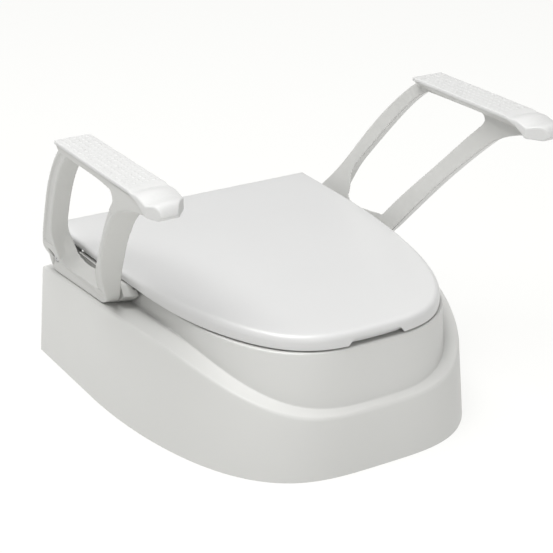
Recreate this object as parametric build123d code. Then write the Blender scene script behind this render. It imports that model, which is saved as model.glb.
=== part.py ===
from build123d import *
import math
import os

# Raised toilet seat: a moulded shell that stands over the toilet bowl, a seat ring and a lid on a
# shared rear hinge, and two armrests that flip up and back about their rear lower corners.
# Millimetres. +Z up, the user faces -Y. While it is laid out, y = 0 is the rear wall and z = 0 is the
# skirt's bottom edge; each piece is moved so that the origin is under the middle of the bounding box.

# Shell
DEPTH = 474.0            # rear wall to the front of the skirt
HALF = 216.0             # half width of the skirt at its bottom edge
SKIRT_TOP = 140.0        # height of the skirt's loft, above the highest point of the ledge
SKIRT_DRAFT = 11.0       # how far the skirt leans in over that height
WALL = 3.5               # moulding thickness
REAR_OPENING = (330.0, 92.0, 25.0)   # width, height and corner radius of the cut-out for the bowl's neck
LEDGE_LINE = [(0, 118), (-120, 125.5), (-230, 130), (-320, 123), (-400, 101), (-DEPTH, 70)]

# Deck: the raised middle part that carries the seat
DECK_REAR = -45.0
DECK_TOP = 156.0
DECK_BASE = 60.0
TILT = 1.03              # forward slope of the seat and lid, degrees
HOLE_Y = -232.0          # centre of the seat opening
DECK_HOLE = (122.0, 150.0)

# Lid and seat ring
HINGE_Y, HINGE_Z = -12.0, 154.0
HINGE_X = 77.5
LID_HALF, LID_DEPTH = 186.5, 456.0
LID_BOTTOM, LID_TOP = 158.0, 176.0
LID_WALL = 4.0
LID_EDGE_R = 5.0
NOTCH = (78.0, 62.0, 8.0)            # finger notch: width below, width above, height
RING_HALF, RING_DEPTH = 174.0, 449.0
RING_REAR = -24.0
RING_BOTTOM, RING_TOP = 158.5, 169.5
RING_HOLE = (104.0, 132.0)
LUG_R = 7.5
HINGE_PIN_R = 4.0
RUN = 0.05               # radial clearance of a running fit

# Armrest
PIVOT_Y, PIVOT_Z = -36.5, 145.5
PIVOT_R = 4.5
KNUCKLE_R = 24.0         # the knuckle turns just above the ledge
GROOVE = 1.5             # depth of the grooves down the posts' outer faces
BAR_IN, BAR_OUT = 188.5, 203.0       # the base bar stands just outside the lid
PAD_IN, PAD_OUT = 222.0, 267.0
PAD_REAR, PAD_FRONT = -199.0, -444.0
PAD_TOP = 355.0
RAIL_TOP, RAIL_BOTTOM = 350.0, 340.0
SKEW = 0.4               # the posts' faces turn outward: mm back per mm out
FRONT_SKEW = -0.5       # the front post's rear face turns the other way
SCOOP_SKEW = 2.6         # the rear post's foot is scooped out towards the outside
SCOOP_X = 196.0

# Supports under the deck
RIM_Z = 60.0             # the toilet bowl's rim, where the rubber pads rest
BEAM_X = (126.0, 153.0)
BEAM_Y = (-60.0, -262.0)
BEAM_BOTTOM = 100.0
BOLT_SPACING = 155.0     # a toilet's seat holes
PLATE_T = 4.0
SLOT_Y = -30.0
SLOT = (36.0, 4.5)       # slot length and half width
PAD_T = 6.0              # rubber rim pads

SHIFT = Pos(0, DEPTH / 2, 0)


def d_face(half, straight, total, ex, ey, z, rear=0.0, count=20):
    """D-shaped outline: straight rear and sides, and a superellipse front."""
    curve = []
    for i in range(count + 1):
        t = math.pi * i / count
        c, s = math.cos(t), math.sin(t)
        x = half * math.copysign(abs(c) ** (2 / ex), c)
        curve.append((x, -straight - (total - straight) * abs(s) ** (2 / ey), z))
    front = Spline(*curve, tangents=[(0, -1, 0), (0, 1, 0)])
    sides = [
        Line((-half, rear, z), (half, rear, z)),
        Line((half, rear, z), (half, -straight, z)),
        Line((-half, -straight, z), (-half, rear, z)),
    ]
    return make_face(Curve() + sides[0] + sides[1] + front + sides[2])


def skirt_block(inset, z0, z1, rear):
    def outline(z):
        lean = SKIRT_DRAFT * z / SKIRT_TOP + inset
        return d_face(HALF - lean, 159, DEPTH - lean, 3.5, 1.9, z, rear)
    return loft([outline(z0), outline(z1)])


def tilt(shape):
    """Lean a piece forward about the hinge axis, as the whole seat leans."""
    to_axis = Pos(0, HINGE_Y, HINGE_Z)
    return to_axis * Rot(TILT, 0, 0) * to_axis.inverse() * shape


def deck_block(inset, z0, z1, rear):
    def outline(z):
        lean = 6.0 * (z - DECK_BASE) / (DECK_TOP - DECK_BASE) + inset
        return d_face(173.5 - lean, 150, 461 - lean, 3.2, 3.0, z, rear)
    return tilt(loft([outline(z0), outline(z1)]))


def box(x0, x1, y0, y1, z0, z1):
    x0, x1 = sorted((x0, x1))
    y0, y1 = sorted((y0, y1))
    return Pos((x0 + x1) / 2, (y0 + y1) / 2, (z0 + z1) / 2) * Box(x1 - x0, y1 - y0, z1 - z0)


def rod_x(x0, x1, y, z, r):
    return Pos((x0 + x1) / 2, y, z) * Rot(0, 90, 0) * Cylinder(r, abs(x1 - x0))


def rod_z(x, y, z0, z1, r):
    return Pos(x, y, (z0 + z1) / 2) * Cylinder(r, abs(z1 - z0))


def side_extrude(face, half_width):
    """Extrude a profile drawn in the Y-Z plane both ways along X."""
    return extrude(face, amount=half_width, dir=(1, 0, 0), both=True)


def yz(y, z):
    return (0, y, z)


def ledge_side(offset, above):
    """Everything below the ledge's surface, or above it."""
    top = Spline(*[yz(y, z + offset) for y, z in LEDGE_LINE])
    far = 400.0 if above else -20.0
    y0, z0 = LEDGE_LINE[0]
    y1, z1 = LEDGE_LINE[-1]
    edges = Curve() + top
    edges += Line(yz(y1, z1 + offset), yz(y1 - 20, z1 + offset - 8))
    edges += Line(yz(y1 - 20, z1 + offset - 8), yz(y1 - 20, far))
    edges += Line(yz(y1 - 20, far), yz(y0 + 20, far))
    edges += Line(yz(y0 + 20, far), yz(y0 + 20, z0 + offset))
    edges += Line(yz(y0 + 20, z0 + offset), yz(y0, z0 + offset))
    return side_extrude(make_face(edges), 300)


def under_deck():
    """The space below the deck's top plate, sloped like the deck."""
    return tilt(box(-300, 300, -500, 50, -100, DECK_TOP - WALL))


def mirrored(shape):
    return mirror(shape, about=Plane.YZ)


def ellipse_tube(outer, wall, z_top, z_bottom, shrink):
    def level(inset, z, small):
        rx, ry = outer[0] - inset - small, outer[1] - inset - small
        return Pos(0, HOLE_Y, z) * Ellipse(rx, ry)
    solid = loft([level(0, z_bottom, shrink), level(0, z_top, 0)])
    return solid - loft([level(wall, z_bottom - 0.1, shrink), level(wall, z_top + 0.1, 0)])


def outer_shell_solid():
    skirt = skirt_block(0, 0, SKIRT_TOP, 0) & ledge_side(0, above=False)
    hollow = skirt_block(WALL, -1, SKIRT_TOP, -WALL) & ledge_side(-WALL, above=False)
    deck = deck_block(0, DECK_BASE, DECK_TOP, DECK_REAR) & ledge_side(-WALL, above=True)
    inside = deck_block(WALL, DECK_BASE - 20, DECK_TOP - WALL, DECK_REAR - WALL)
    opening = Pos(0, HOLE_Y, DECK_TOP) * extrude(Ellipse(*DECK_HOLE), amount=30, both=True)
    width, height, radius = REAR_OPENING
    neck = box(-width / 2, width / 2, -30, 10, -60, height)
    neck = fillet(neck.edges().filter_by(Axis.Y).group_by(Axis.Z)[-1], radius)
    return (skirt - hollow) + deck - inside - tilt(opening) - neck


def splash_guard():
    rx, ry = DECK_HOLE
    tube = ellipse_tube((rx - 0.5, ry - 0.5), 2.5, DECK_TOP, 34, 27)
    collar = Ellipse(rx + 9, ry + 9) - Ellipse(rx - 3, ry - 3)
    lip = Pos(0, HOLE_Y, DECK_TOP) * extrude(collar, amount=1.6)
    return tilt(tube + lip)


def side_beam():
    x0, x1 = BEAM_X
    beam = box(x0, x1, *BEAM_Y, BEAM_BOTTOM, DECK_TOP + 10) & under_deck()
    return beam - box(x0 - 1, x1 - 6, -110, -215, BEAM_BOTTOM + 8, BEAM_BOTTOM + 38)


def rear_crossbeam():
    half = BEAM_X[0]
    beam = box(-half, half, -50, -78, RIM_Z + PLATE_T, DECK_TOP + 10) & under_deck()
    for x in (-82, 0, 82):
        beam -= box(x - 32, x + 32, -40, -72, 90, 140)
    return beam


def height_block():
    x0, x1 = BEAM_X
    return box(x0 + 1, x1 - 1, -110, -250, RIM_Z + PAD_T, BEAM_BOTTOM)


def front_support():
    block = box(-42, 42, -398, -436, RIM_Z + PAD_T, DECK_TOP) & under_deck()
    return block - box(-32, 32, -390, -428, 90, 130)


def rim_pads():
    x0, x1 = BEAM_X
    side = box(x0, x1, -108, -252, RIM_Z, RIM_Z + PAD_T)
    front = box(-44, 44, -396, -438, RIM_Z, RIM_Z + PAD_T)
    pads = [side, mirrored(side), front]
    return [fillet(p.edges().filter_by(Axis.Z), 5) for p in pads]


def mounting_plate():
    plate = box(-112, 112, -12, -78, RIM_Z, RIM_Z + PLATE_T)
    plate = fillet(plate.edges().filter_by(Axis.Z), 8)
    length, half_width = SLOT
    slot = extrude(SlotOverall(length, 2 * half_width), amount=20, both=True)
    for side in (-1, 1):
        plate -= Pos(side * BOLT_SPACING / 2, SLOT_Y, RIM_Z) * slot
    return plate


def bolt(x, y, z_head, length, shank_r, head_r, head_h, up=True):
    """Screw whose head starts at z_head and whose shank runs up, or down, from it."""
    way = 1 if up else -1
    head = Pos(x, y, z_head + way * head_h / 2) * extrude(
        RegularPolygon(head_r, 6), amount=head_h / 2, both=True)
    start = z_head + way * head_h
    return head + rod_z(x, y, start, start + way * length, shank_r)


def hinge_block():
    """Knuckle that holds the hinge pin, on a tongue and a flange behind the deck."""
    x = HINGE_X
    knuckle = rod_x(x - 8, x + 8, HINGE_Y, HINGE_Z, 8)
    tongue = box(x - 8, x + 8, DECK_REAR, HINGE_Y, 146, 155.5)
    flange = box(x - 16, x + 16, DECK_REAR, DECK_REAR + 5, 128, 155.5)
    block = knuckle + tongue + flange
    return tilt(block - rod_x(x - 20, x + 20, HINGE_Y, HINGE_Z, HINGE_PIN_R))


def hinge_pin():
    return rod_x(HINGE_X - 24, HINGE_X + 22, HINGE_Y, HINGE_Z, HINGE_PIN_R)


def hinge_screws():
    screws = []
    for x in (HINGE_X - 12, HINGE_X + 12):
        head = Pos(x, DECK_REAR + 6.5, 135) * Rot(90, 0, 0) * Cylinder(3.5, 3)
        shank = Pos(x, DECK_REAR, 135) * Rot(90, 0, 0) * Cylinder(2, 10)
        screws.append(tilt(head + shank))
    return screws + [mirrored(s) for s in screws]


def lug(x0, x1, front, top):
    """Hinge lug: a round eye about the hinge axis, carried by a web above it."""
    eye = rod_x(x0, x1, HINGE_Y, HINGE_Z, LUG_R)
    web = box(x0, x1, front, HINGE_Y + LUG_R, HINGE_Z, top)
    return eye + web


def lid_outline(inset, z, rear):
    return d_face(LID_HALF - inset, 60, LID_DEPTH - inset, 3.2, 2.2, z, rear)


def rim_line():
    """The space below the lid's rim, which is thinner along the rear and the sides."""
    line = Spline(yz(-170, 163.8), yz(-200, 163.2), yz(-240, 161), yz(-275, 159), yz(-310, LID_BOTTOM),
                  tangents=[(0, -1, 0), (0, -1, 0)])
    edges = Curve() + line + Line(yz(10, 163.8), yz(-170, 163.8))
    edges += Line(yz(-310, LID_BOTTOM), yz(-310, 150)) + Line(yz(-310, 150), yz(10, 150))
    edges += Line(yz(10, 150), yz(10, 163.8))
    return side_extrude(make_face(edges), 300)


def lid():
    height = LID_TOP - LID_BOTTOM
    body = extrude(lid_outline(0, LID_BOTTOM, 0), amount=height)
    body = fillet(body.edges().group_by(Axis.Z)[-1], LID_EDGE_R)
    body -= extrude(lid_outline(LID_WALL, LID_BOTTOM - 1, -LID_WALL), amount=height - LID_WALL + 1)
    body -= rim_line()
    low, high, tall = NOTCH
    cut = Polyline((-low / 2, 0, LID_BOTTOM - 1), (-high / 2, 0, LID_BOTTOM + tall),
                   (high / 2, 0, LID_BOTTOM + tall), (low / 2, 0, LID_BOTTOM - 1), close=True)
    body -= Pos(0, -LID_DEPTH + 30, 0) * extrude(make_face(cut), amount=60, dir=(0, -1, 0))
    for side in (-1, 1):
        hinge_gap = box(HINGE_X - 26, HINGE_X + 26, -LID_WALL - 1, 1, LID_BOTTOM - 1, LID_TOP - LID_WALL)
        body -= hinge_gap if side > 0 else mirrored(hinge_gap)
    eye = lug(HINGE_X + 10.5, HINGE_X + 20.5, HINGE_Y - LUG_R, LID_TOP - LID_WALL)
    body = body + eye + mirrored(eye)
    bore = rod_x(-150, 150, HINGE_Y, HINGE_Z, HINGE_PIN_R + RUN)
    return tilt(body - bore)


def seat_ring():
    face = d_face(RING_HALF, 60, RING_DEPTH, 2.8, 2.3, RING_BOTTOM, RING_REAR)
    body = extrude(face, amount=RING_TOP - RING_BOTTOM)
    hole = Pos(0, HOLE_Y, RING_BOTTOM) * extrude(Ellipse(*RING_HOLE), amount=30, both=True)
    body -= hole
    body = fillet(body.edges().group_by(Axis.Z)[-1], 4.0)
    eye = lug(HINGE_X - 21.5, HINGE_X - 10.5, RING_REAR - 6, RING_TOP - 3)
    eye -= box(0, 200, RING_REAR, RING_REAR - 20, 100, RING_BOTTOM)
    body = body + eye + mirrored(eye)
    bore = rod_x(-150, 150, HINGE_Y, HINGE_Z, HINGE_PIN_R + RUN)
    return tilt(body - bore)


def buffers(x, ys, z0, z1):
    pads = []
    for y in ys:
        pad = Pos(x, y, z0) * extrude(SlotOverall(24, 12, rotation=90), amount=z1 - z0)
        pads += [tilt(pad), mirrored(tilt(pad))]
    return pads


# ---- armrest, right side; the left one is its mirror image ----

# Offsets of the arm's faces from the foot's, by height, at a rear and at a front station.
ARM_LEVELS = [138, 166, 196, 226, 256, 286, 316, RAIL_TOP]
ARM_OUT_REAR = [0, 13.5, 22.5, 28, 32, 35, 37, 38.5]
ARM_OUT_FRONT = [0, 15, 30, 41, 49.5, 56, 61, 62.5]
ARM_IN_REAR = [0, 9.5, 18, 24.5, 30, 34, 36.5, 38]
ARM_IN_FRONT = [0, 9, 18, 26.5, 35.5, 43, 48, 49]
REAR_STATION, FRONT_STATION = -60.0, -350.0


def blend(values, z):
    """Straight-line reading of a level table."""
    z = min(max(z, ARM_LEVELS[0]), ARM_LEVELS[-1])
    for i in range(len(ARM_LEVELS) - 1):
        low, high = ARM_LEVELS[i], ARM_LEVELS[i + 1]
        if z <= high:
            return values[i] + (values[i + 1] - values[i]) * (z - low) / (high - low)
    return values[-1]


def arm_face_x(base, rear_table, front_table, y, z):
    """X of one of the arm's faces at a point of its side view."""
    y = max(y, FRONT_STATION)
    share = (y - REAR_STATION) / (FRONT_STATION - REAR_STATION)
    near, far = blend(rear_table, z), blend(front_table, z)
    return base + near + (far - near) * share


def arm_outer(y, z):
    return arm_face_x(BAR_OUT, ARM_OUT_REAR, ARM_OUT_FRONT, y, z)


def arm_inner(y, z):
    return arm_face_x(BAR_IN, ARM_IN_REAR, ARM_IN_FRONT, y, z)


def side_point(y, z, skew=SKEW):
    """Place a point of the arm's side view, so that it comes out right at the arm's mid-thickness."""
    middle = 0.5 * (arm_outer(y, z) + arm_inner(y, z))
    return (0, y - skew * middle, z)


def side_spline(points, skew=SKEW):
    return Spline(*[side_point(y, z, skew) for y, z in points])


def side_line(a, b, skew=SKEW):
    return Line(side_point(*a, skew), side_point(*b, skew))


def arm_side_solid(face, skew=SKEW):
    return extrude(face, amount=420, dir=(1, skew, 0))


FOOT_EDGE = [(-172, 130), (-186, 138), (-210, 166)]      # front edge of the arm's foot


def arm_outline():
    knuckle_low = (PIVOT_Y, PIVOT_Z - KNUCKLE_R)
    rear_edge = [(-198, RAIL_TOP), (-155, 316), (-102, 258), (-56, 196), (-27, 163), (-15.5, 143), (-19, 127),
                 knuckle_low]
    front_edge = FOOT_EDGE + [(-258, 226), (-316, 286), (-352, 315), (-385, 329), (-430, 337)]
    foot = FOOT_EDGE[0]
    edges = Curve() + side_spline(rear_edge) + side_line(knuckle_low, foot) + side_spline(front_edge)
    edges += side_line((-430, 337), (-430, RAIL_TOP)) + side_line((-430, RAIL_TOP), (-198, RAIL_TOP))
    return make_face(edges)


def far_side(points, skew, far_y):
    """Everything in front of a line of the side view, or behind it when far_y is to the rear."""
    high, low = points[0][1], points[-1][1]
    y_high, y_low = side_point(*points[0], skew)[1], side_point(*points[-1], skew)[1]
    edges = Curve() + side_spline(points, skew)
    edges += Line(yz(y_low, low), yz(far_y, low)) + Line(yz(far_y, low), yz(far_y, high))
    edges += Line(yz(far_y, high), yz(y_high, high))
    return arm_side_solid(make_face(edges), skew)


def arm_scoop():
    """Everything in front of the scooped face at the rear post's foot."""
    points = [(-200, 270), (-150, 226), (-133, 210), (-119, 195), (-113, 181), (-109, 174), (-98, 164), (-90, 156),
              (-82, 150), (-72, 140), (-66, 130)]
    shift = SCOOP_SKEW * SCOOP_X
    line = Spline(*[yz(y - shift, z) for y, z in points])
    far = -900 - shift
    edges = Curve() + line + Line(yz(-66 - shift, 130), yz(far, 130)) + Line(yz(far, 130), yz(far, 345))
    edges += Line(yz(far, 345), yz(-200 - shift, 345)) + Line(yz(-200 - shift, 345), yz(-200 - shift, 270))
    return extrude(make_face(edges), amount=900, dir=(1, SCOOP_SKEW, 0))


def bar_ramp():
    """Everything below the base bar's top, which rises inward and towards the front."""
    section = Polyline((180, -20, 164.7), (240, -20, 89.6), (180, -20, 89.6), close=True)
    return extrude(make_face(section), amount=400, dir=(0, -1, 0.165))


def nearest_edge(shape, point):
    return min(shape.edges(), key=lambda e: (e.center() - Vector(*point)).length)


# Corners of the arm's opening that are rounded: a point near the middle of each edge, and its radius.
OPENING_CORNERS = [((228, -335, 339), 8), ((228, -220, 339), 9), ((192, -110, 165), 24), ((203, -179, 162), 5)]


def arm_opening():
    rear_post = [(-214, 339), (-182, 316), (-153, 286), (-104, 226), (-84, 196), (-74, 170), (-66, 152), (-60, 138),
                 (-58, 125)]
    front_post = [(-342, 339), (-331, 325), (-316, 311), (-288, 283), (-234, 226), (-184, 171), (-164, 145),
                  (-149, 125)]
    opening = far_side(rear_post, SKEW, -900) & far_side(front_post, FRONT_SKEW, 400)
    opening = (opening & arm_scoop()) - bar_ramp()
    opening = opening & box(180, 275, -480, 30, 125, 345)
    for point, radius in OPENING_CORNERS:
        opening = fillet(nearest_edge(opening, point), radius)
    return opening


def arm_station(y, inner, outer, low, levels):
    """Closed X-Z section through the arm's leaning band, between two faces."""
    edges = Curve() + Spline(*[(inner(y, z), y, z) for z in levels]) + Spline(*[(outer(y, z), y, z) for z in levels])
    foot_in, foot_out = inner(y, levels[0]), outer(y, levels[0])
    edges += Line((foot_in, y, levels[0]), (foot_in, y, low)) + Line((foot_in, y, low), (foot_out, y, low))
    edges += Line((foot_out, y, low), (foot_out, y, levels[0]))
    edges += Line((inner(y, RAIL_TOP), y, RAIL_TOP), (outer(y, RAIL_TOP), y, RAIL_TOP))
    return make_face(edges)


def arm_band():
    """The arm's leaning section; the front post leans further out than the rear one."""
    def station(y):
        return arm_station(y, arm_inner, arm_outer, 110, ARM_LEVELS)
    middle = station(FRONT_STATION)
    return loft([station(30), middle], ruled=True) + extrude(middle, amount=120, dir=(0, -1, 0))


def arm_skin():
    """The layer that the grooves are cut from, on the arm's outer face."""
    def inside(y, z):
        return arm_outer(y, z) - GROOVE

    def outside(y, z):
        return 330.0

    def station(y):
        return arm_station(y, inside, outside, 130, ARM_LEVELS)
    return loft([station(30), station(FRONT_STATION)], ruled=True)


def post_groove(rear, front):
    """Groove between two lines of the side view, both listed from the top down."""
    edges = Curve() + side_spline(rear) + side_line(rear[-1], front[-1])
    edges += side_spline(front) + side_line(front[0], rear[0])
    return arm_side_solid(make_face(edges)) & arm_skin()


def arm_grooves():
    rear_post = post_groove(
        [(-184, 332), (-162, 316), (-109, 258), (-63, 196), (-36, 168)],
        [(-197, 332), (-175, 316), (-146, 286), (-97, 226), (-77, 196), (-66, 168)])
    front_post = post_groove(
        [(-323, 312), (-298, 286), (-242, 226), (-190, 166), (-178, 152)],
        [(-341, 312), (-309, 286), (-251, 226), (-203, 166), (-193, 152)])
    return [rear_post, front_post]


def knuckle_corner():
    """What a square rear corner would have beyond the knuckle's radius."""
    corner = box(BAR_IN - 5, BAR_OUT + 20, PIVOT_Y, 20, 90, PIVOT_Z)
    return corner - rod_x(BAR_IN - 6, BAR_OUT + 21, PIVOT_Y, PIVOT_Z, KNUCKLE_R)


def knuckle_slot():
    """Narrow slot in the knuckle's outer face, behind and below the pivot."""
    slot = extrude(SlotOverall(12, 3.2), amount=3)
    return Pos(BAR_OUT - 3, PIVOT_Y + 9.5, PIVOT_Z - 12.5) * Rot(0, 90, 0) * Rot(0, 0, 20) * slot


def arm_rail():
    """Trough under the pad: as wide as the pad at its top, as narrow as the posts below."""
    section = Polyline((PAD_IN + 1.5, 0, RAIL_TOP), (PAD_OUT - 1.5, 0, RAIL_TOP),
                       (PAD_OUT - 5, 0, RAIL_BOTTOM), (PAD_IN + 12, 0, RAIL_BOTTOM),
                       close=True)
    return Pos(0, PAD_REAR - 0.5, 0) * extrude(make_face(section), amount=196, dir=(0, -1, 0))


def arm_frame(cutters):
    body = (arm_side_solid(arm_outline()) & arm_band()) - arm_opening()
    body = body + arm_rail()
    body -= rod_x(BAR_IN - 2, BAR_OUT + 30, PIVOT_Y, PIVOT_Z, 8)
    body -= rod_x(BAR_OUT - 3, BAR_OUT + 30, PIVOT_Y, PIVOT_Z, 9.5)
    body -= knuckle_corner()
    for groove in arm_grooves():
        body -= groove
    return body - knuckle_slot() - cutters


def arm_bush():
    bush = rod_x(BAR_IN, BAR_OUT - 3, PIVOT_Y, PIVOT_Z, 8)
    return bush - rod_x(BAR_IN - 1, BAR_OUT, PIVOT_Y, PIVOT_Z, PIVOT_R + RUN)


def arm_pin():
    """Headed pivot pin with a screwdriver slot."""
    pin = rod_x(172, BAR_OUT - 2.6, PIVOT_Y, PIVOT_Z, PIVOT_R)
    head = rod_x(BAR_OUT - 2.6, BAR_OUT - 0.4, PIVOT_Y, PIVOT_Z, 8.8)
    slot = box(BAR_OUT - 1.6, BAR_OUT + 1, PIVOT_Y - 1.2, PIVOT_Y + 1.2, PIVOT_Z - 7, PIVOT_Z + 7)
    return pin + head - slot


def arm_bracket():
    base = box(171.5, 187.3, -13, -62, 110, 125)
    ear = rod_x(171.5, 182, PIVOT_Y, PIVOT_Z, 10) + box(171.5, 182, PIVOT_Y - 10, PIVOT_Y + 10, 110, PIVOT_Z)
    bracket = (base + ear) & ledge_side(0, above=True)
    return bracket - rod_x(150, 200, PIVOT_Y, PIVOT_Z, PIVOT_R)


def arm_stop():
    """Fixed block along the base bar, flush with the foot's front face, under the lid's edge."""
    nose, top, rear = (-195, 146), (-183, 158.6), (-66, 158.6)
    edges = Curve() + side_spline(FOOT_EDGE[:2] + [nose]) + side_line(nose, top) + side_line(top, rear)
    edges += side_line(rear, (-66, 130)) + side_line((-66, 130), FOOT_EDGE[0])
    block = box(171.5, 187.8, -64, -250, 100, 160) & arm_side_solid(make_face(edges))
    block -= box(170, RING_HALF + 1.2, 0, -300, 152, 170)
    return block & ledge_side(0, above=True)


def arm_foot_buffer():
    return box(191.5, 200, -148, -164, 120, 134) & ledge_side(0.4, above=True)


def arm_pad():
    """Flat pad with a shallow dip and a rounded, down-turned nose."""
    top = Spline(yz(-380, PAD_TOP), yz(-389, PAD_TOP - 0.8), yz(-401, PAD_TOP + 2.5), yz(-424, 354),
                 yz(PAD_FRONT, 341), tangents=[(0, -1, 0), (0, -0.3, -1)])
    edges = Curve() + top + Line(yz(PAD_REAR, RAIL_TOP), yz(PAD_REAR, PAD_TOP))
    edges += Line(yz(PAD_REAR, PAD_TOP), yz(-380, PAD_TOP))
    edges += Line(yz(PAD_FRONT, 341), yz(-438, 336)) + Line(yz(-438, 336), yz(-420, 337))
    edges += Line(yz(-420, 337), yz(-402, RAIL_TOP)) + Line(yz(-402, RAIL_TOP), yz(PAD_REAR, RAIL_TOP))
    body = side_extrude(make_face(edges), 300)
    plan = make_face(Polyline((PAD_IN, PAD_REAR, 0), (PAD_OUT, PAD_REAR, 0), (PAD_OUT, PAD_FRONT + 20, 0),
                              (PAD_OUT - 9, PAD_FRONT, 0), (PAD_IN + 18, PAD_FRONT, 0),
                              (PAD_IN, PAD_FRONT + 22, 0), close=True))
    return body & extrude(plan, amount=400)


def pad_screws():
    return [bolt(246, y, RAIL_BOTTOM - 1, 9, 2, 4, 3) for y in (-235, -300, -365)]


# ---- assembly ----

def build():
    block_bolts = []
    for x, y in ((139.5, -130), (139.5, -230), (25, -417)):
        block_bolts.append(bolt(x, y, RIM_Z + PAD_T, 45, 3, 5.5, 4))
    block_bolts += [mirrored(b) for b in block_bolts]
    plate_screws = [bolt(x, -65, RIM_Z, 22, 3, 5, 3) for x in (-100, -40, 40, 100)]
    shell_screws = [tilt(bolt(x, y, DECK_TOP, 24, 2.5, 4.5, 2.5, up=False))
                    for x in (-139.5, 139.5) for y in (-80, -245)]
    bracket_screws = [bolt(180, y, 128, 14, 2, 4, 3, up=False) for y in (-19, -56)]
    bracket_screws += [mirrored(s) for s in bracket_screws]
    h_screws = hinge_screws()

    def without(shape, *groups):
        for group in groups:
            for cutter in group:
                shape = shape - cutter
        return shape

    nodes = {
        "outer_shell": without(outer_shell_solid(), shell_screws, bracket_screws, h_screws),
        "splash_guard": splash_guard(),
        "rear_crossbeam": without(rear_crossbeam(), plate_screws, h_screws),
        "front_support": without(front_support(), block_bolts),
        "rim_pads": rim_pads(),
        "mounting_plate": without(mounting_plate(), plate_screws),
        "block_bolts": block_bolts,
        "plate_screws": plate_screws,
        "shell_screws": shell_screws,
        "bracket_screws": bracket_screws,
        "hinge_screws": h_screws,
        "seat_ring": seat_ring(),
        "seat_buffers": buffers(140, (-120, -280), DECK_TOP + 0.3, RING_BOTTOM),
        "lid": lid(),
        "lid_buffers": buffers(138, (-110, -290), RING_TOP + 0.3, LID_TOP - LID_WALL),
    }
    screws, buffer, pad = pad_screws(), arm_foot_buffer(), arm_pad()
    right = {
        "side_beam": without(side_beam(), block_bolts, shell_screws),
        "height_block": without(height_block(), block_bolts),
        "hinge_block": without(hinge_block(), h_screws),
        "hinge_pin": hinge_pin(),
        "arm_bracket": without(arm_bracket(), bracket_screws),
        "arm_stop": arm_stop(),
        "arm_pin": arm_pin(),
        "arm_bush": arm_bush(),
        "arm_frame": without(arm_frame(pad), screws, [buffer]),
        "arm_foot_buffer": buffer,
        "arm_pad": without(pad, screws),
        "arm_pad_screws": screws,
    }
    for name, shape in right.items():
        nodes["right_" + name] = shape
        nodes["left_" + name] = [mirrored(s) for s in shape] if isinstance(shape, list) else mirrored(shape)
    return nodes


def main():
    os.makedirs("parts", exist_ok=True)
    for name, shape in build().items():
        pieces = shape if isinstance(shape, list) else [shape]
        moved = [SHIFT * p for p in pieces]
        solids = [s for p in moved for s in p.solids()]
        node = solids[0] if len(solids) == 1 else Compound(children=solids)
        export_step(node, f"parts/{name}.step")


main()
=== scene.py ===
import math

import bmesh
import bpy
import numpy as np
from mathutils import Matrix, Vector


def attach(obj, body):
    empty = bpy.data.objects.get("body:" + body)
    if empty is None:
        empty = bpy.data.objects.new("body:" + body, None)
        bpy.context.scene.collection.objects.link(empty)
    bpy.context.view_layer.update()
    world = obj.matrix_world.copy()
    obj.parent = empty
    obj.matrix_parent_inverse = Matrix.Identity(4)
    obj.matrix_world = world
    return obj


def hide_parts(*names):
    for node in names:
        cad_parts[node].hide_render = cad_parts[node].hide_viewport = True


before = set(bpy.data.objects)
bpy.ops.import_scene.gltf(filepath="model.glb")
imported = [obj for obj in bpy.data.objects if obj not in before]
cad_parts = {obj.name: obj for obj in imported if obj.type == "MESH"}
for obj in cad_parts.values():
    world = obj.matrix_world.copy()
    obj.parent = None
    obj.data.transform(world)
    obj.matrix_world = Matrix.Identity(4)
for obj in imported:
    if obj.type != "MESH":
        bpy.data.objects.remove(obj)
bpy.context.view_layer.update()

MM = 0.001
DEPTH = 474.0                        # the shell's depth: layout y = 0 is the rear wall
HINGE = np.array([0.0, -12.0, 154.0])
TILT = math.radians(1.03)            # forward slope of the seat and the lid
SIDES = (("left", -1), ("right", 1))


# ---- mesh helpers (layout millimetres in, frame metres out) ----

def to_frame(points):
    """Layout millimetres to frame metres."""
    moved = np.array(points, float).reshape(-1, 3) + np.array([0.0, DEPTH / 2, 0.0])
    return moved * MM


def to_layout(vertex):
    """A frame vertex in layout millimetres."""
    return np.array(vertex.co) / MM - np.array([0, DEPTH / 2, 0])


def tilted(points):
    """Lean points forward about the hinge axis."""
    p = np.array(points, float) - HINGE
    c, s = math.cos(TILT), math.sin(TILT)
    y = p[..., 1] * c - p[..., 2] * s
    z = p[..., 1] * s + p[..., 2] * c
    return np.stack([p[..., 0], y, z], axis=-1) + HINGE


def new_object(name, points, faces):
    mesh = bpy.data.meshes.new(name)
    mesh.from_pydata([tuple(p) for p in to_frame(points)], [], faces)
    mesh.validate()
    obj = bpy.data.objects.new(name, mesh)
    bpy.context.scene.collection.objects.link(obj)
    return obj


def grid_faces(rows, columns):
    """Quads over rows x columns points, wrapping round both ways."""
    faces = []
    for i in range(rows):
        for j in range(columns):
            a, b = i * columns + j, i * columns + (j + 1) % columns
            below = (i + 1) % rows * columns
            faces.append((a, b, below + (j + 1) % columns, below + j))
    return faces


def fix_normals(obj):
    """Weld doubled points and turn every face outwards."""
    work = bmesh.new()
    work.from_mesh(obj.data)
    bmesh.ops.remove_doubles(work, verts=work.verts, dist=1e-6)
    bmesh.ops.recalc_face_normals(work, faces=work.faces)
    work.to_mesh(obj.data)
    work.free()
    return obj


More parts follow.
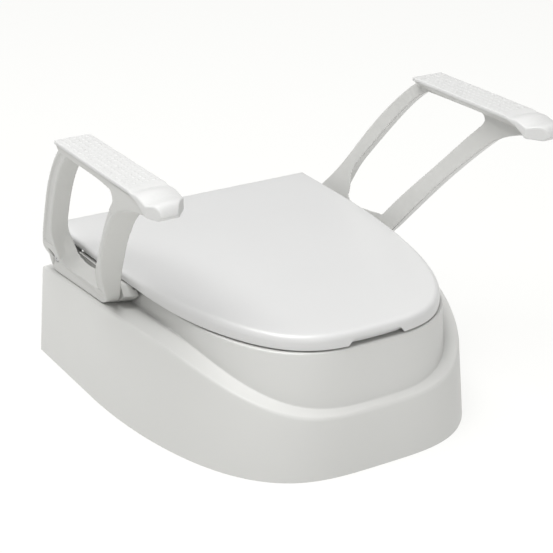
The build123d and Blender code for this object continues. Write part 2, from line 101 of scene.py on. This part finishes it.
def smooth(obj, angle=35):
    """Smooth shading, apart from edges sharper than this."""
    mesh = obj.data
    mesh.polygons.foreach_set("use_smooth", [True] * len(mesh.polygons))
    bpy.context.view_layer.objects.active = obj
    for other in bpy.context.selected_objects:
        other.select_set(False)
    obj.select_set(True)
    bpy.ops.object.shade_smooth_by_angle(angle=math.radians(angle))
    return obj


def apply_modifiers(obj):
    """Bake the modifier stack into the mesh."""
    evaluated = obj.evaluated_get(bpy.context.evaluated_depsgraph_get())
    mesh = bpy.data.meshes.new_from_object(evaluated)
    obj.modifiers.clear()
    obj.data = mesh
    return obj


def cut(obj, cutter):
    """Take the cutter away from the object, and remove the cutter."""
    modifier = obj.modifiers.new("cut", "BOOLEAN")
    modifier.operation = "DIFFERENCE"
    modifier.solver = "EXACT"
    modifier.object = cutter
    apply_modifiers(obj)
    bpy.data.objects.remove(cutter)
    return obj


# ---- moulded shells, made as a ring of columns round a D-shaped outline ----

def power(value, exponent):
    """A power that keeps the sign."""
    return math.copysign(abs(value) ** exponent, value)


def d_point(share, half, straight, total, ex, ey, rear):
    """A point of the D outline.

    share runs once round it from the left rear corner, by quarters: the rear edge, the right side,
    the front and the left side. ex and ey square up the front's curve."""
    quarter, along = int(share * 4) % 4, (share * 4) % 1.0
    if quarter == 0:
        return np.array([-half + 2 * half * along, rear])
    if quarter == 1:
        return np.array([half, rear - (straight + rear) * along])
    if quarter == 2:
        t = math.pi * along
        x = half * power(math.cos(t), 2 / ex)
        return np.array([x, -straight - (total - straight) * abs(math.sin(t)) ** (2 / ey)])
    return np.array([-half, -straight + (straight + rear) * along])


def even_shares(points, wanted, corners):
    """Shares that lie evenly along an outline given at many shares, with its corners kept."""
    shares = []
    for start, end in corners:
        dense = np.linspace(start, end, 400, endpoint=False)
        line = np.array([points(s) for s in dense] + [points(end - 1e-6)])
        steps = np.linalg.norm(np.diff(line, axis=0), axis=1)
        length = np.concatenate([[0], np.cumsum(steps)])
        count = max(3, int(round(length[-1] / wanted)))
        targets = np.linspace(0, length[-1], count, endpoint=False)
        shares += list(np.interp(targets, length, np.append(dense, end)))
    return shares


BEND = 0.83                          # between a parabola's corner and a straight cut


def rounded(corners, radii, steps=5):
    """A closed loop of 3-D corner points with each corner rounded off."""
    out = []
    count = len(corners)
    for i, radius in enumerate(radii):
        point, before, after = corners[i], corners[i - 1], corners[(i + 1) % count]
        if radius == 0:
            out.append(point)
            continue
        back, on = before - point, after - point
        back_length, on_length = np.linalg.norm(back), np.linalg.norm(on)
        start = point + back / back_length * min(radius, 0.45 * back_length)
        end = point + on / on_length * min(radius, 0.45 * on_length)
        for k in range(steps + 1):
            u = k / steps
            middle = BEND * point + (1 - BEND) * 0.5 * (start + end)
            out.append((1 - u) ** 2 * start + 2 * u * (1 - u) * middle + u * u * end)
    return out


def column_mesh(name, columns):
    """One closed surface through equal-length closed columns."""
    rows, size = len(columns), len(columns[0])
    points = np.array([p for column in columns for p in column])
    return fix_normals(new_object(name, points, grid_faces(rows, size)))


def smooth_line(table):
    """Natural cubic through a table of (y, value), read by y."""
    ys = np.array([a for a, _ in table][::-1], float)
    vs = np.array([b for _, b in table][::-1], float)
    slopes = np.gradient(vs, ys)

    def read(y):
        y = min(max(y, ys[0]), ys[-1])
        i = min(int(np.searchsorted(ys, y, side="right")) - 1, len(ys) - 2)
        h = ys[i + 1] - ys[i]
        t = (y - ys[i]) / h
        return ((2 * t ** 3 - 3 * t ** 2 + 1) * vs[i] + (t ** 3 - 2 * t ** 2 + t) * h * slopes[i]
                + (3 * t ** 2 - 2 * t ** 3) * vs[i + 1] + (t ** 3 - t ** 2) * h * slopes[i + 1])
    return read


QUARTERS = ((0.0, 0.25), (0.25, 0.5), (0.5, 0.75), (0.75, 1.0))
COLUMN_STEP = 3.0                    # spacing of the columns along an outline
WALL = 3.5
SKIRT_HEIGHT = 140.0
SKIRT_LEAN = 11.0                    # inward lean over the skirt's height
DECK_TOP = 156.0
HOLE_Y, HOLE_HALF_X, HOLE_HALF_Y = -232, 122, 150
SCREW_X, SCREW_YS, SCREW_RADIUS = 139.5, (-80, -245), 5.3
NECK_WIDTH, NECK_HEIGHT, NECK_RADIUS = 330.0, 92.0, 25.0
LEDGE = [(20, 118), (0, 118), (-60, 121.8), (-120, 125.5), (-180, 128.6), (-230, 130.0),
         (-275, 128.4), (-320, 123), (-360, 113.6), (-400, 101), (-438, 86.5), (-474, 70)]
ledge_height = smooth_line(LEDGE)


def skirt_at(share, z, inset):
    """The skirt's wall at one height, moved in by the inset."""
    lean = SKIRT_LEAN * z / SKIRT_HEIGHT + inset
    x, y = d_point(share, 216 - lean, 159, DEPTH - lean, 3.5, 1.9, -inset)
    return np.array([x, y, z])


def deck_at(share, z, inset):
    """The upper wall at one height, moved in by the inset."""
    lean = 6.0 * (z - 60) / 96 + inset
    rear = -45.0 - inset
    x, y = d_point(share, 173.5 - lean, 150, 461 - lean, 3.2, 3.0, rear)
    return tilted(np.array([x, y, z]))


def on_ledge(at, share, inset, offset):
    """Where the skirt or the deck's wall meets the ledge's height."""
    z = 120.0
    for _ in range(12):
        point = at(share, z, inset)
        z += ledge_height(point[1]) + offset - point[2]
    return at(share, z, inset)


def hole_point(share, z):
    """The deck's oval hole, in the same direction as the outline's point."""
    outline = deck_at(share, z, 0)
    angle = math.atan2((outline[1] - HOLE_Y) / HOLE_HALF_Y, outline[0] / HOLE_HALF_X)
    x, y = HOLE_HALF_X * math.cos(angle), HOLE_Y + HOLE_HALF_Y * math.sin(angle)
    return tilted(np.array([x, y, z]))


def neck_cutter():
    """The cut-out for the bowl's neck: square at the floor, rounded at the top."""
    half, straight = NECK_WIDTH / 2, NECK_HEIGHT - NECK_RADIUS
    turn = np.linspace(0.15, math.pi / 2, 9)
    right = [(half - NECK_RADIUS + NECK_RADIUS * math.cos(a), straight + NECK_RADIUS * math.sin(a))
             for a in turn]
    left = [(-x, z) for x, z in reversed(right)]
    outline = [(-half, -60), (half, -60), (half, straight)] + right + left + [(-half, straight)]
    return slab(outline, -30, 10)


def make_shell():
    """Skirt, ledge, upper wall and deck as one wall, with screw holes and the neck's cut-out."""
    shares = even_shares(lambda s: skirt_at(s, 0, 0)[:2], COLUMN_STEP, QUARTERS)
    columns = []
    for s in shares:
        corners = [skirt_at(s, 0, 0), on_ledge(skirt_at, s, 0, 0), on_ledge(deck_at, s, 0, 0),
                   deck_at(s, DECK_TOP, 0), hole_point(s, DECK_TOP), hole_point(s, DECK_TOP - WALL),
                   deck_at(s, DECK_TOP - WALL, WALL), on_ledge(deck_at, s, WALL, -WALL),
                   on_ledge(skirt_at, s, WALL, -WALL), skirt_at(s, 0, WALL)]
        columns.append(rounded(corners, [0.8, 4.5, 2.0, 2.5, 0.6, 0.6, 2, 1, 3, 0.8]))
    shell = column_mesh("shell_moulding", columns)
    for sign in (-1, 1):
        for y in SCREW_YS:
            ends = [tilted([sign * SCREW_X, y, z]) for z in (153.2, 158)]
            cut(shell, rod(*ends, SCREW_RADIUS, 24))
    cut(shell, neck_cutter())
    return smooth(shell, 40)


def rod(start, end, radius, sides=24):
    """Closed cylinder between two layout points."""
    start, end = np.array(start, float), np.array(end, float)
    way = (end - start) / np.linalg.norm(end - start)
    side = np.cross(way, [0.0, 0.0, 1.0] if abs(way[2]) < 0.9 else [1.0, 0.0, 0.0])
    side /= np.linalg.norm(side)
    up = np.cross(way, side)
    angles = np.linspace(0, 2 * math.pi, sides, endpoint=False)
    ring = [radius * (math.cos(a) * side + math.sin(a) * up) for a in angles]
    points = [start + r for r in ring] + [end + r for r in ring]
    faces = [(i, (i + 1) % sides, sides + (i + 1) % sides, sides + i) for i in range(sides)]
    faces += [tuple(range(sides)), tuple(range(sides, 2 * sides))]
    return fix_normals(new_object("rod", points, faces))


def slab(outline, y0, y1):
    """Closed solid with an outline in the X-Z plane, from y0 to y1."""
    count = len(outline)
    points = [(x, y, z) for y in (y0, y1) for x, z in outline]
    faces = [(i, (i + 1) % count, count + (i + 1) % count, count + i) for i in range(count)]
    faces += [tuple(range(count)), tuple(range(count, 2 * count))]
    return fix_normals(new_object("slab", points, faces))


def block(x0, x1, y0, y1, z0, z1):
    return slab([(x0, z0), (x1, z0), (x1, z1), (x0, z1)], y0, y1)


# ---- lid ----

LID_TOP, LID_WALL = 176.0, 4.0
LID_CENTRE = np.array([0.0, -215.0, 0.0])
LID_ROUNDING = [1.2, 7.5, 9.0, 0, 0, 1.5, 1.0]
RIM = [(20, 163.8), (0, 163.8), (-170, 163.8), (-200, 163.1), (-240, 160.9),
       (-275, 159), (-310, 158), (-380, 158), (-460, 158)]
rim_bottom = smooth_line(RIM)


def lid_at(share, z, inset):
    """The lid's outline at one height, moved in by the inset."""
    x, y = d_point(share, 186.5 - inset, 60, 456 - inset, 3.2, 2.2, -inset)
    return np.array([x, y, z])


def make_lid():
    """A crowned plate with a hanging rim, closed at the middle above and below."""
    shares = even_shares(lambda s: lid_at(s, 0, 0)[:2], COLUMN_STEP, QUARTERS)
    under = LID_TOP - LID_WALL
    columns = []
    for s in shares:
        bottom = rim_bottom(lid_at(s, 0, 0)[1])
        corners = [lid_at(s, bottom, 0), lid_at(s, LID_TOP - 1.2, 0), lid_at(s, LID_TOP, 14.0),
                   LID_CENTRE + [0, 0, LID_TOP], LID_CENTRE + [0, 0, under],
                   lid_at(s, under, LID_WALL), lid_at(s, bottom, LID_WALL)]
        columns.append([tilted(p) for p in rounded(corners, LID_ROUNDING, 7)])
    return column_mesh("lid_moulding", columns)


def notch_cutter():
    """The finger notch in the front rim: wide at the bottom, with sloping ends."""
    low, high, bottom, top = 39.0, 31.0, 158, 166.0
    right = [(low, 156), (low - 1, bottom), (high + 1.2, top - 1.2), (high - 1, top)]
    left = [(-x, z) for x, z in reversed(right)]
    return lean_object(slab(left[-1:] + right + left[:-1], -480, -430))


def hinge_lug(sign):
    """A barrel round the hinge pin, with a web up to the lid."""
    x0, x1 = sorted((sign * 88.0, sign * 98.0))
    lug = rod([x0, *HINGE[1:]], [x1, *HINGE[1:]], 7.5, 40)
    join([lug, block(x0, x1, -19.5, -4.5, 154, 173)])
    cut(lug, rod([x0 - 5, *HINGE[1:]], [x1 + 5, *HINGE[1:]], 4.05, 32))
    return lean_object(lug)


def lid_details(lid):
    """The finger notch, the rear rim's gaps over the hinge blocks, and the hinge lugs."""
    cut(lid, notch_cutter())
    for sign in (-1, 1):
        x0, x1 = sorted((sign * 51.5, sign * 103.5))
        cut(lid, lean_object(block(x0, x1, -5, 3, 150, 172)))
    return join([lid, hinge_lug(-1), hinge_lug(1)])


def lean_object(obj):
    """Lean a built object forward about the hinge axis."""
    for vertex in obj.data.vertices:
        vertex.co = to_frame(tilted(to_layout(vertex)))[0]
    return obj


def join(objects):
    """Join the meshes of several objects into the first."""
    work = bmesh.new()
    for obj in objects:
        work.from_mesh(obj.data)
    work.to_mesh(objects[0].data)
    work.free()
    for obj in objects[1:]:
        bpy.data.objects.remove(obj)
    return objects[0]


# ---- armrests ----

def soft_copy(node, name, voxel, passes, keep):
    """The CAD piece with its edges rounded as a moulding's are."""
    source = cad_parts[node]
    obj = bpy.data.objects.new(name, source.data.copy())
    obj.matrix_world = source.matrix_world.copy()
    bpy.context.scene.collection.objects.link(obj)
    obj.data.materials.clear()
    remesh = obj.modifiers.new("even", "REMESH")
    remesh.mode = "VOXEL"
    remesh.voxel_size = voxel * MM
    relax = obj.modifiers.new("soften", "SMOOTH")
    relax.factor = 0.5
    relax.iterations = passes
    thin = obj.modifiers.new("thin", "DECIMATE")
    thin.ratio = keep
    apply_modifiers(obj)
    obj.data.polygons.foreach_set("use_smooth", [True] * len(obj.data.polygons))
    return obj


DOT_COLUMNS, DOT_ROWS, DOT_PITCH_X, DOT_PITCH_Y = 5, 21, 7.75, 8.2
DOT_START_X, DOT_START_Y, DOT_BASE_Z = 229.0, -206.0, 354.9
DOT_RADIUS, DOT_HEIGHT, DOT_RINGS, DOT_SIDES = 2.3, 0.55, 4, 12


def dot_points(x, y):
    """A low dome: rings from the edge up, then its top and its sunk underside."""
    points = []
    for k in range(DOT_RINGS):
        lift = 0.5 * math.pi * k / DOT_RINGS
        radius, z = DOT_RADIUS * math.cos(lift), DOT_BASE_Z + DOT_HEIGHT * math.sin(lift)
        for m in range(DOT_SIDES):
            a = 2 * math.pi * m / DOT_SIDES
            points.append((x + radius * math.cos(a), y + radius * math.sin(a), z))
    return points + [(x, y, DOT_BASE_Z + DOT_HEIGHT), (x, y, DOT_BASE_Z - 0.3)]


def dot_faces(start):
    top = start + DOT_RINGS * DOT_SIDES
    last = top - DOT_SIDES
    faces = []
    for k in range(DOT_RINGS - 1):
        for m in range(DOT_SIDES):
            a, b = start + k * DOT_SIDES + m, start + k * DOT_SIDES + (m + 1) % DOT_SIDES
            faces.append((a, b, b + DOT_SIDES, a + DOT_SIDES))
    for m in range(DOT_SIDES):
        on = (m + 1) % DOT_SIDES
        faces += [(last + m, last + on, top), (start + on, start + m, top + 1)]
    return faces


def grip_dots(sign):
    """Low raised dots over the pad's flat top."""
    points, faces = [], []
    for i in range(DOT_COLUMNS):
        for j in range(DOT_ROWS):
            faces += dot_faces(len(points))
            points += dot_points(sign * (DOT_START_X + DOT_PITCH_X * i), DOT_START_Y - DOT_PITCH_Y * j)
    return fix_normals(new_object("dots", points, faces))


def make_pad(side, sign):
    pad = soft_copy(side + "_arm_pad", side + "_pad_moulding", 0.8, 10, 0.3)
    dome_nose(pad, sign)
    join([pad, grip_dots(sign)])
    return smooth(pad, 60)


def dome_nose(pad, sign):
    """Round the nose off across its width, fading out where the flat top starts."""
    middle, half_width, drop = sign * 244.5, 22.5, 4.2
    for vertex in pad.data.vertices:
        x, y, z = to_layout(vertex)
        along = min(max((-384.0 - y) / 22.0, 0.0), 1.0)
        high = min(max((z - 341.0) / 12.0, 0.0), 1.0)
        fade = along * along * (3 - 2 * along) * high
        vertex.co.z -= MM * drop * fade * ((x - middle) / half_width) ** 2


# ---- camera ----

TARGET = Vector((0.0, 0.037, 0.176))
AZIMUTH, ELEVATION, DISTANCE = math.radians(-30.61), math.radians(22.20), 1.973
LENS, SHIFT = 104.16, (0.0289, -0.0606)


def make_camera():
    camera = bpy.data.objects.new("camera", bpy.data.cameras.new("camera"))
    bpy.context.scene.collection.objects.link(camera)
    back = Vector((math.sin(AZIMUTH) * math.cos(ELEVATION),
                   -math.cos(AZIMUTH) * math.cos(ELEVATION), math.sin(ELEVATION)))
    camera.location = TARGET + back * DISTANCE
    camera.rotation_mode = "QUATERNION"
    camera.rotation_quaternion = (-back).to_track_quat("-Z", "Y")
    camera.data.sensor_width = 36.0
    camera.data.lens = LENS
    camera.data.shift_x, camera.data.shift_y = SHIFT
    bpy.context.scene.camera = camera


# ---- stage ----

FLOOR_GLOW = 0.84
FLOOR_HALF = 20.0
HORIZON, SKY = 0.50, 0.22
LIGHTS = (                           # name, place, aim, size, watts
    ("key", (-1.2, -0.3, 3.9), (0, -0.02, 0.15), (3.0, 3.0), 200.0),
    ("fill", (-0.6, -3.0, 1.3), (0, 0, 0.12), (1.6, 1.2), 11.0),
)


def node_material(name):
    material = bpy.data.materials.new(name)
    material.use_nodes = True
    tree = material.node_tree
    return material, tree, tree.nodes["Principled BSDF"]


def area_light(name, location, target, size, watts):
    light = bpy.data.lights.new(name, "AREA")
    light.shape = "RECTANGLE"
    light.size, light.size_y = size
    light.energy = watts
    obj = bpy.data.objects.new(name, light)
    bpy.context.scene.collection.objects.link(obj)
    obj.location = location
    direction = Vector(target) - Vector(location)
    obj.rotation_mode = "QUATERNION"
    obj.rotation_quaternion = direction.to_track_quat("-Z", "Y")


def floor_material():
    """Pale studio floor that is bright right up to the object."""
    material, tree, bsdf = node_material("floor_paint")
    noise = tree.nodes.new("ShaderNodeTexNoise")
    noise.inputs["Scale"].default_value = 0.6
    tint = tree.nodes.new("ShaderNodeMix")
    tint.data_type = "RGBA"
    tint.inputs["A"].default_value = (0.148, 0.148, 0.144, 1)
    tint.inputs["B"].default_value = (0.152, 0.152, 0.148, 1)
    tree.links.new(noise.outputs["Fac"], tint.inputs["Factor"])
    tree.links.new(tint.outputs["Result"], bsdf.inputs["Base Color"])
    bsdf.inputs["Roughness"].default_value = 0.9
    bsdf.inputs["Specular IOR Level"].default_value = 0.0
    bsdf.inputs["Emission Color"].default_value = (1.0, 1.0, 0.985, 1)
    bsdf.inputs["Emission Strength"].default_value = FLOOR_GLOW
    return material


def make_world():
    """White studio: a bright band round the horizon, dimmer overhead."""
    world = bpy.data.worlds.new("studio")
    bpy.context.scene.world = world
    world.use_nodes = True
    nodes, links = world.node_tree.nodes, world.node_tree.links
    coordinates = nodes.new("ShaderNodeTexCoord")
    split = nodes.new("ShaderNodeSeparateXYZ")
    links.new(coordinates.outputs["Generated"], split.inputs["Vector"])
    band = nodes.new("ShaderNodeMapRange")
    band.interpolation_type = "SMOOTHSTEP"
    band.inputs["From Min"].default_value = 0.10
    band.inputs["From Max"].default_value = 0.32
    band.inputs["To Min"].default_value = HORIZON
    band.inputs["To Max"].default_value = SKY
    links.new(split.outputs["Z"], band.inputs["Value"])
    background = nodes["Background"]
    background.inputs["Color"].default_value = (1, 1, 1, 1)
    links.new(band.outputs["Result"], background.inputs["Strength"])


def make_stage():
    mesh = bpy.data.meshes.new("floor")
    corners = [(FLOOR_HALF * x, FLOOR_HALF * y, 0) for x, y in ((-1, -1), (1, -1), (1, 1), (-1, 1))]
    mesh.from_pydata(corners, [], [(0, 1, 2, 3)])
    floor = bpy.data.objects.new("floor", mesh)
    bpy.context.scene.collection.objects.link(floor)
    mesh.materials.append(floor_material())
    make_world()
    for light in LIGHTS:
        area_light(*light)
    bpy.context.scene.view_settings.view_transform = "Standard"


# ---- materials ----

def shader(name, roughness, metallic=0.0):
    material, tree, bsdf = node_material(name)
    bsdf.inputs["Metallic"].default_value = metallic
    coordinates = tree.nodes.new("ShaderNodeTexCoord")
    return material, tree, bsdf, coordinates.outputs["Object"]


def noise_fac(tree, vector, scale, detail=2.0, roughness=0.5):
    noise = tree.nodes.new("ShaderNodeTexNoise")
    noise.inputs["Scale"].default_value = scale
    noise.inputs["Detail"].default_value = detail
    noise.inputs["Roughness"].default_value = roughness
    tree.links.new(vector, noise.inputs["Vector"])
    return noise.outputs["Fac"]


def colour_mix(tree, factor, low, high, target):
    mix = tree.nodes.new("ShaderNodeMix")
    mix.data_type = "RGBA"
    mix.inputs["A"].default_value = (*low, 1)
    mix.inputs["B"].default_value = (*high, 1)
    tree.links.new(factor, mix.inputs["Factor"])
    tree.links.new(mix.outputs["Result"], target)


def ranged(tree, factor, low, high, target):
    ramp = tree.nodes.new("ShaderNodeMapRange")
    ramp.inputs["From Min"].default_value = 0.25
    ramp.inputs["From Max"].default_value = 0.75
    ramp.inputs["To Min"].default_value = low
    ramp.inputs["To Max"].default_value = high
    tree.links.new(factor, ramp.inputs["Value"])
    tree.links.new(ramp.outputs["Result"], target)


def relief(tree, bsdf, height, distance, strength=1.0):
    bump = tree.nodes.new("ShaderNodeBump")
    bump.inputs["Strength"].default_value = strength
    bump.inputs["Distance"].default_value = distance
    tree.links.new(height, bump.inputs["Height"])
    tree.links.new(bump.outputs["Normal"], bsdf.inputs["Normal"])


def moulded(name, colour, roughness, grain=260.0, depth=0.000012, spread=0.02, coat=0.0):
    """Moulded plastic: slow drift of colour, a spark-eroded grain and uneven gloss."""
    material, tree, bsdf, vector = shader(name, roughness)
    drift = noise_fac(tree, vector, 6.0, 3.0)
    low = tuple(c * (1 - spread) for c in colour)
    high = tuple(c * (1 + spread) for c in colour)
    colour_mix(tree, drift, low, high, bsdf.inputs["Base Color"])
    gloss = noise_fac(tree, vector, 35.0, 4.0)
    ranged(tree, gloss, roughness - 0.04, roughness + 0.04, bsdf.inputs["Roughness"])
    relief(tree, bsdf, noise_fac(tree, vector, grain, 1.0), depth)
    bsdf.inputs["Coat Weight"].default_value = coat
    return material


def pebbled(name, colour, roughness):
    """Matt grip plastic: rounded pebbles about 2 mm across, with uneven gloss."""
    material, tree, bsdf, vector = shader(name, roughness)
    cells = tree.nodes.new("ShaderNodeTexVoronoi")
    cells.feature = "SMOOTH_F1"
    cells.inputs["Scale"].default_value = 420.0
    tree.links.new(vector, cells.inputs["Vector"])
    low = tuple(c * 0.96 for c in colour)
    colour_mix(tree, cells.outputs["Distance"], colour, low, bsdf.inputs["Base Color"])
    gloss = noise_fac(tree, vector, 60.0, 3.0)
    ranged(tree, gloss, roughness - 0.05, roughness + 0.05, bsdf.inputs["Roughness"])
    relief(tree, bsdf, cells.outputs["Distance"], 0.00006, 0.5)
    return material


def plated(name, colour, roughness, along=(1.0, 1.0, 1.0)):
    """Zinc-plated steel: drawn streaks and faint cloudy patches."""
    material, tree, bsdf, vector = shader(name, roughness, 1.0)
    stretch = tree.nodes.new("ShaderNodeMapping")
    stretch.inputs["Scale"].default_value = along
    tree.links.new(vector, stretch.inputs["Vector"])
    streaks = noise_fac(tree, stretch.outputs["Vector"], 900.0, 4.0, 0.6)
    clouds = noise_fac(tree, vector, 90.0, 3.0)
    colour_mix(tree, clouds, tuple(c * 0.86 for c in colour), tuple(c * 1.05 for c in colour),
               bsdf.inputs["Base Color"])
    ranged(tree, streaks, roughness - 0.08, roughness + 0.10, bsdf.inputs["Roughness"])
    relief(tree, bsdf, streaks, 0.00003)
    return material


def rubbery(name, colour):
    """Matt rubber with a dusty bloom and a fine sanded surface."""
    material, tree, bsdf, vector = shader(name, 0.8)
    bloom = noise_fac(tree, vector, 120.0, 5.0, 0.65)
    colour_mix(tree, bloom, tuple(c * 0.8 for c in colour), tuple(c * 1.5 for c in colour),
               bsdf.inputs["Base Color"])
    ranged(tree, bloom, 0.7, 0.92, bsdf.inputs["Roughness"])
    relief(tree, bsdf, noise_fac(tree, vector, 1800.0, 2.0), 0.00008)
    return material


# ---- assembly ----

def paint(names, material):
    """Give CAD nodes a material."""
    for name in names:
        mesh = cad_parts[name].data
        mesh.materials.clear()
        mesh.materials.append(material)


def replace(obj, body, nodes, slot):
    """Stand a built piece in for CAD nodes."""
    obj.data.materials.clear()
    obj.data.materials.append(finishes[slot])
    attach(obj, body)
    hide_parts(*nodes)


make_camera()
make_stage()

finishes = {
    "lid_plastic": moulded("lid_plastic", (0.655, 0.655, 0.650), 0.32, depth=0.000004, coat=0.1),
    "seat_plastic": moulded("seat_plastic", (0.655, 0.655, 0.650), 0.32, coat=0.1),
    "shell_plastic": moulded("shell_plastic", (0.640, 0.640, 0.622), 0.40),
    "guard_plastic": moulded("guard_plastic", (0.640, 0.640, 0.630), 0.36),
    # arm_plastic: the same white plastic as the shell, made darker as painted shade, standing in for
    # the shade that falls on the arms
    "arm_plastic": moulded("arm_plastic", (0.550, 0.550, 0.532), 0.38),
    "frame_plastic": moulded("frame_plastic", (0.56, 0.56, 0.55), 0.5, depth=0.00002),
    "bush_plastic": moulded("bush_plastic", (0.50, 0.50, 0.48), 0.45),
    "pad_plastic": pebbled("pad_plastic", (0.640, 0.640, 0.632), 0.55),
    "rubber": rubbery("rubber", (0.030, 0.030, 0.032)),
    "steel": plated("steel", (0.60, 0.60, 0.61), 0.32),
    "plate_steel": plated("plate_steel", (0.62, 0.62, 0.63), 0.36, (0.15, 1.0, 1.0)),
}

both = lambda *names: [f"{side}_{name}" for side, _ in SIDES for name in names]
paint(["seat_ring"], finishes["seat_plastic"])
paint(["splash_guard"], finishes["guard_plastic"])
paint(["rear_crossbeam", "front_support"], finishes["frame_plastic"])
paint(both("side_beam", "height_block", "arm_bracket", "hinge_block"), finishes["frame_plastic"])
# The arm stops take the arm plastic, whose darker colour is painted shade
paint(both("arm_stop"), finishes["arm_plastic"])
paint(both("arm_bush"), finishes["bush_plastic"])
paint(["rim_pads", "seat_buffers", "lid_buffers"] + both("arm_foot_buffer"), finishes["rubber"])
paint(["block_bolts", "plate_screws", "shell_screws", "bracket_screws", "hinge_screws"]
      + both("hinge_pin", "arm_pin", "arm_pad_screws"), finishes["steel"])
paint(["mounting_plate"], finishes["plate_steel"])

replace(make_shell(), "base", ["outer_shell"], "shell_plastic")
replace(smooth(lid_details(make_lid()), 40), "lid", ["lid"], "lid_plastic")
for side, sign in SIDES:
    # The arm frames take the arm plastic, whose darker colour is painted shade
    arm = soft_copy(side + "_arm_frame", side + "_arm_moulding", 0.9, 8, 0.3)
    replace(arm, side + "_arm", [side + "_arm_frame"], "arm_plastic")
    replace(make_pad(side, sign), side + "_arm", [side + "_arm_pad"], "pad_plastic")
